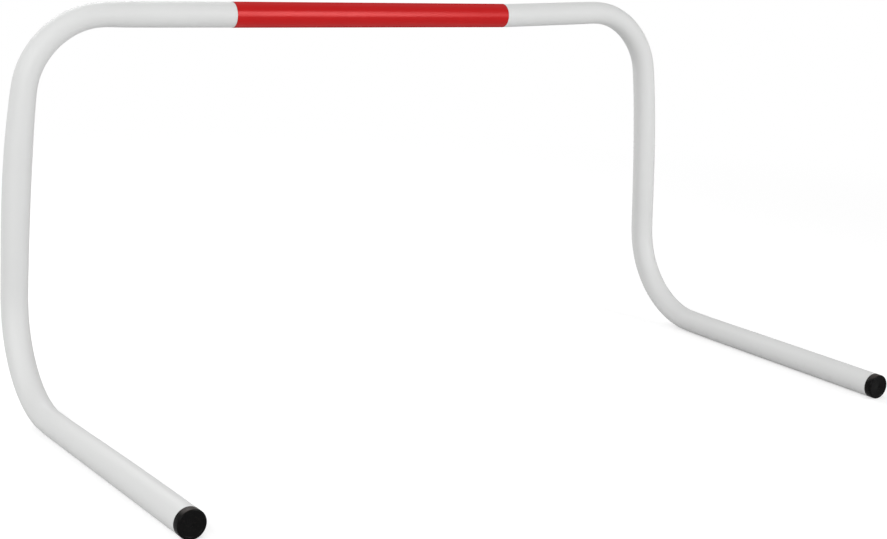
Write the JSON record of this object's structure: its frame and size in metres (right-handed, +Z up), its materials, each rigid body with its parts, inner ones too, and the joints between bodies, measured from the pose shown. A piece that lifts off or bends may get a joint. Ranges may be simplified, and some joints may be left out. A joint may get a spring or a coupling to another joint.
{
  "type": "training hurdle",
  "caption": "Free-standing low training hurdle: a bent white tube forms crossbar, legs and forward feet, with a red film band on the crossbar and black end plugs.",
  "frame": {"origin": "on the floor, at the middle of the bottom of the bounding box", "axes": "+X along the crossbar to the right, -Y forwards along the feet, +Z up"},
  "size_m": [1.0575, 0.5196, 0.498],
  "materials": {
    "frame_coat": "smooth semi-gloss white powder coat",
    "band_film": "smooth self-adhesive red film",
    "plug_plastic": "satin moulded black plastic",
    "weight_steel": "bare drawn steel bar"
  },
  "bodies": {
    "root": {"frame_tube": "frame_coat", "crossbar_film": "band_film", "left_end_plug": "plug_plastic", "right_end_plug": "plug_plastic", "left_weight_bar": "weight_steel", "right_weight_bar": "weight_steel"}
  },
  "joints": []
}
